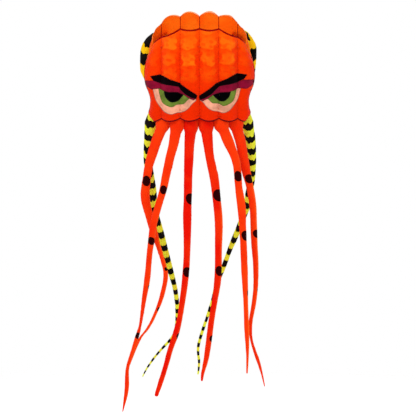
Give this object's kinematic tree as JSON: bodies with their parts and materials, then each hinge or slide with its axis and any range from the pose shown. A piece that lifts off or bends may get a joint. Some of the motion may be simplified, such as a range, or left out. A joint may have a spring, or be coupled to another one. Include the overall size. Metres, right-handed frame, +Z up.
{
  "type": "octopus kite",
  "caption": "Soft ram-air octopus kite: a ballooned head with open crown intakes, frowning eyes and long air-filled tentacles that hang and swing below it.",
  "frame": {"origin": "centre of the eye of the centre bridle loop, in front of the middle rib", "axes": "+Z up along the hanging kite, -Y towards the flyer, +X to the flyer's right"},
  "size_m": [1.434, 0.4515, 4.0102],
  "materials": {
    "face_ripstop": "thin ripstop nylon, orange to red-orange, slight sheen",
    "back_ripstop": "thin ripstop nylon, red-orange, slight sheen",
    "rib_ripstop": "thin ripstop nylon, matt inside",
    "hem_tape": "dark red woven edge binding",
    "webbing": "dark red woven polyester webbing",
    "eye_peach": "peach ripstop applique",
    "eye_olive": "olive green ripstop applique",
    "black_cloth": "black ripstop applique",
    "eyelid_maroon": "maroon ripstop applique",
    "striped_ripstop": "thin ripstop nylon in yellow and black bands",
    "tentacle_ripstop": "thin ripstop nylon, red-orange with dark spots"
  },
  "bodies": {
    "head": {"back_gore_1": "back_ripstop", "back_gore_2": "back_ripstop", "back_gore_3": "back_ripstop", "back_gore_4": "back_ripstop", "back_gore_5": "back_ripstop", "back_gore_6": "back_ripstop", "bridle_loops": "webbing", "chin_tape": "hem_tape", "crown_tape": "hem_tape", "face_gore_1": "face_ripstop", "face_gore_2": "face_ripstop", "face_gore_3": "face_ripstop", "face_gore_4": "face_ripstop", "face_gore_5": "face_ripstop", "face_gore_6": "face_ripstop", "intake_lip_tape": "hem_tape", "left_eye_white": "eye_peach", "left_eyebrow": "black_cloth", "left_eyelid": "eyelid_maroon", "left_iris": "eye_olive", "left_pupil": "black_cloth", "left_striped_shoulder": "striped_ripstop", "rib_1": "rib_ripstop", "rib_2": "rib_ripstop", "rib_3": "rib_ripstop", "rib_4": "rib_ripstop", "rib_5": "rib_ripstop", "right_eye_white": "eye_peach", "right_eyebrow": "black_cloth", "right_eyelid": "eyelid_maroon", "right_iris": "eye_olive", "right_pupil": "black_cloth", "right_striped_shoulder": "striped_ripstop", "side_piping": "hem_tape"},
    "tentacle_1_upper": {"tentacle_1_upper": "tentacle_ripstop"},
    "tentacle_1_middle": {"tentacle_1_middle": "tentacle_ripstop"},
    "tentacle_1_lower": {"tentacle_1_lower": "tentacle_ripstop"},
    "tentacle_2_upper": {"tentacle_2_upper": "tentacle_ripstop"},
    "tentacle_2_middle": {"tentacle_2_middle": "tentacle_ripstop"},
    "tentacle_2_lower": {"tentacle_2_lower": "tentacle_ripstop"},
    "tentacle_3_upper": {"tentacle_3_upper": "tentacle_ripstop"},
    "tentacle_3_middle": {"tentacle_3_middle": "tentacle_ripstop"},
    "tentacle_3_lower": {"tentacle_3_lower": "tentacle_ripstop"},
    "tentacle_4_upper": {"tentacle_4_upper": "tentacle_ripstop"},
    "tentacle_4_middle": {"tentacle_4_middle": "tentacle_ripstop"},
    "tentacle_4_lower": {"tentacle_4_lower": "tentacle_ripstop"},
    "tentacle_5_upper": {"tentacle_5_upper": "tentacle_ripstop"},
    "tentacle_5_middle": {"tentacle_5_middle": "tentacle_ripstop"},
    "tentacle_5_lower": {"tentacle_5_lower": "tentacle_ripstop"},
    "tentacle_6_upper": {"tentacle_6_upper": "tentacle_ripstop"},
    "tentacle_6_middle": {"tentacle_6_middle": "tentacle_ripstop"},
    "tentacle_6_lower": {"tentacle_6_lower": "tentacle_ripstop"},
    "left_striped_arm_upper": {"left_striped_arm_upper": "striped_ripstop"},
    "left_striped_arm_middle": {"left_striped_arm_middle": "striped_ripstop"},
    "left_striped_arm_lower": {"left_striped_arm_lower": "striped_ripstop"},
    "right_striped_arm_upper": {"right_striped_arm_upper": "striped_ripstop"},
    "right_striped_arm_middle": {"right_striped_arm_middle": "striped_ripstop"},
    "right_striped_arm_lower": {"right_striped_arm_lower": "striped_ripstop"}
  },
  "joints": [
    {"name": "tentacle_1_root", "type": "hinge", "parent": "head", "child": "tentacle_1_upper", "pos_m": [-0.365, 0.165, -0.765], "axis": [0, 1, 0], "range_deg": [0, 35]},
    {"name": "tentacle_1_middle_bend", "type": "hinge", "parent": "tentacle_1_upper", "child": "tentacle_1_middle", "pos_m": [-0.49992, 0.165, -1.7], "axis": [0, 1, 0], "range_deg": [0, 35]},
    {"name": "tentacle_1_lower_bend", "type": "hinge", "parent": "tentacle_1_middle", "child": "tentacle_1_lower", "pos_m": [-0.41434, 0.165, -2.6], "axis": [0, 1, 0], "range_deg": [0, 35]},
    {"name": "tentacle_2_root", "type": "hinge", "parent": "head", "child": "tentacle_2_upper", "pos_m": [-0.225, 0.114, -0.765], "axis": [-1, 0, 0], "range_deg": [0, 40]},
    {"name": "tentacle_2_middle_bend", "type": "hinge", "parent": "tentacle_2_upper", "child": "tentacle_2_middle", "pos_m": [-0.44316, 0.06044, -1.7], "axis": [-1, 0, 0], "range_deg": [0, 35]},
    {"name": "tentacle_2_lower_bend", "type": "hinge", "parent": "tentacle_2_middle", "child": "tentacle_2_lower", "pos_m": [-0.56506, 0.0587, -2.6], "axis": [-1, 0, 0], "range_deg": [0, 35]},
    {"name": "tentacle_3_root", "type": "hinge", "parent": "head", "child": "tentacle_3_upper", "pos_m": [-0.085, 0.114, -0.765], "axis": [-1, 0, 0], "range_deg": [-3, 40]},
    {"name": "tentacle_3_middle_bend", "type": "hinge", "parent": "tentacle_3_upper", "child": "tentacle_3_middle", "pos_m": [-0.12212, 0.114, -1.7], "axis": [-1, 0, 0], "range_deg": [-2, 35]},
    {"name": "tentacle_3_lower_bend", "type": "hinge", "parent": "tentacle_3_middle", "child": "tentacle_3_lower", "pos_m": [-0.17848, 0.114, -2.6], "axis": [-1, 0, 0], "range_deg": [-2, 35]},
    {"name": "tentacle_4_root", "type": "hinge", "parent": "head", "child": "tentacle_4_upper", "pos_m": [0.065, 0.114, -0.765], "axis": [-1, 0, 0], "range_deg": [-3, 40]},
    {"name": "tentacle_4_middle_bend", "type": "hinge", "parent": "tentacle_4_upper", "child": "tentacle_4_middle", "pos_m": [0.19195, 0.114, -1.7], "axis": [-1, 0, 0], "range_deg": [-2, 35]},
    {"name": "tentacle_4_lower_bend", "type": "hinge", "parent": "tentacle_4_middle", "child": "tentacle_4_lower", "pos_m": [0.14291, 0.114, -2.6], "axis": [-1, 0, 0], "range_deg": [-2, 35]},
    {"name": "tentacle_5_root", "type": "hinge", "parent": "head", "child": "tentacle_5_upper", "pos_m": [0.215, 0.114, -0.765], "axis": [-1, 0, 0], "range_deg": [0, 40]},
    {"name": "tentacle_5_middle_bend", "type": "hinge", "parent": "tentacle_5_upper", "child": "tentacle_5_middle", "pos_m": [0.42741, 0.06044, -1.7], "axis": [-1, 0, 0], "range_deg": [0, 35]},
    {"name": "tentacle_5_lower_bend", "type": "hinge", "parent": "tentacle_5_middle", "child": "tentacle_5_lower", "pos_m": [0.4642, 0.0587, -2.6], "axis": [-1, 0, 0], "range_deg": [0, 35]},
    {"name": "tentacle_6_root", "type": "hinge", "parent": "head", "child": "tentacle_6_upper", "pos_m": [0.365, 0.165, -0.765], "axis": [0, -1, 0], "range_deg": [0, 35]},
    {"name": "tentacle_6_middle_bend", "type": "hinge", "parent": "tentacle_6_upper", "child": "tentacle_6_middle", "pos_m": [0.54206, 0.165, -1.7], "axis": [0, -1, 0], "range_deg": [0, 35]},
    {"name": "tentacle_6_lower_bend", "type": "hinge", "parent": "tentacle_6_middle", "child": "tentacle_6_lower", "pos_m": [0.54208, 0.165, -2.6], "axis": [0, -1, 0], "range_deg": [0, 35]},
    {"name": "left_striped_arm_root", "type": "hinge", "parent": "head", "child": "left_striped_arm_upper", "pos_m": [-0.495, 0.294, -0.765], "axis": [1, 0, 0], "range_deg": [0, 42]},
    {"name": "left_striped_arm_middle_bend", "type": "hinge", "parent": "left_striped_arm_upper", "child": "left_striped_arm_middle", "pos_m": [-0.44368, 0.32293, -1.7], "axis": [1, 0, 0], "range_deg": [0, 38]},
    {"name": "left_striped_arm_lower_bend", "type": "hinge", "parent": "left_striped_arm_middle", "child": "left_striped_arm_lower", "pos_m": [-0.22636, 0.3294, -2.6], "axis": [1, 0, 0], "range_deg": [0, 38]},
    {"name": "right_striped_arm_root", "type": "hinge", "parent": "head", "child": "right_striped_arm_upper", "pos_m": [0.485, 0.294, -0.765], "axis": [1, 0, 0], "range_deg": [0, 42]},
    {"name": "right_striped_arm_middle_bend", "type": "hinge", "parent": "right_striped_arm_upper", "child": "right_striped_arm_middle", "pos_m": [0.44207, 0.32293, -1.7], "axis": [1, 0, 0], "range_deg": [0, 38]},
    {"name": "right_striped_arm_lower_bend", "type": "hinge", "parent": "right_striped_arm_middle", "child": "right_striped_arm_lower", "pos_m": [0.11674, 0.3294, -2.6], "axis": [1, 0, 0], "range_deg": [0, 38]}
  ]
}
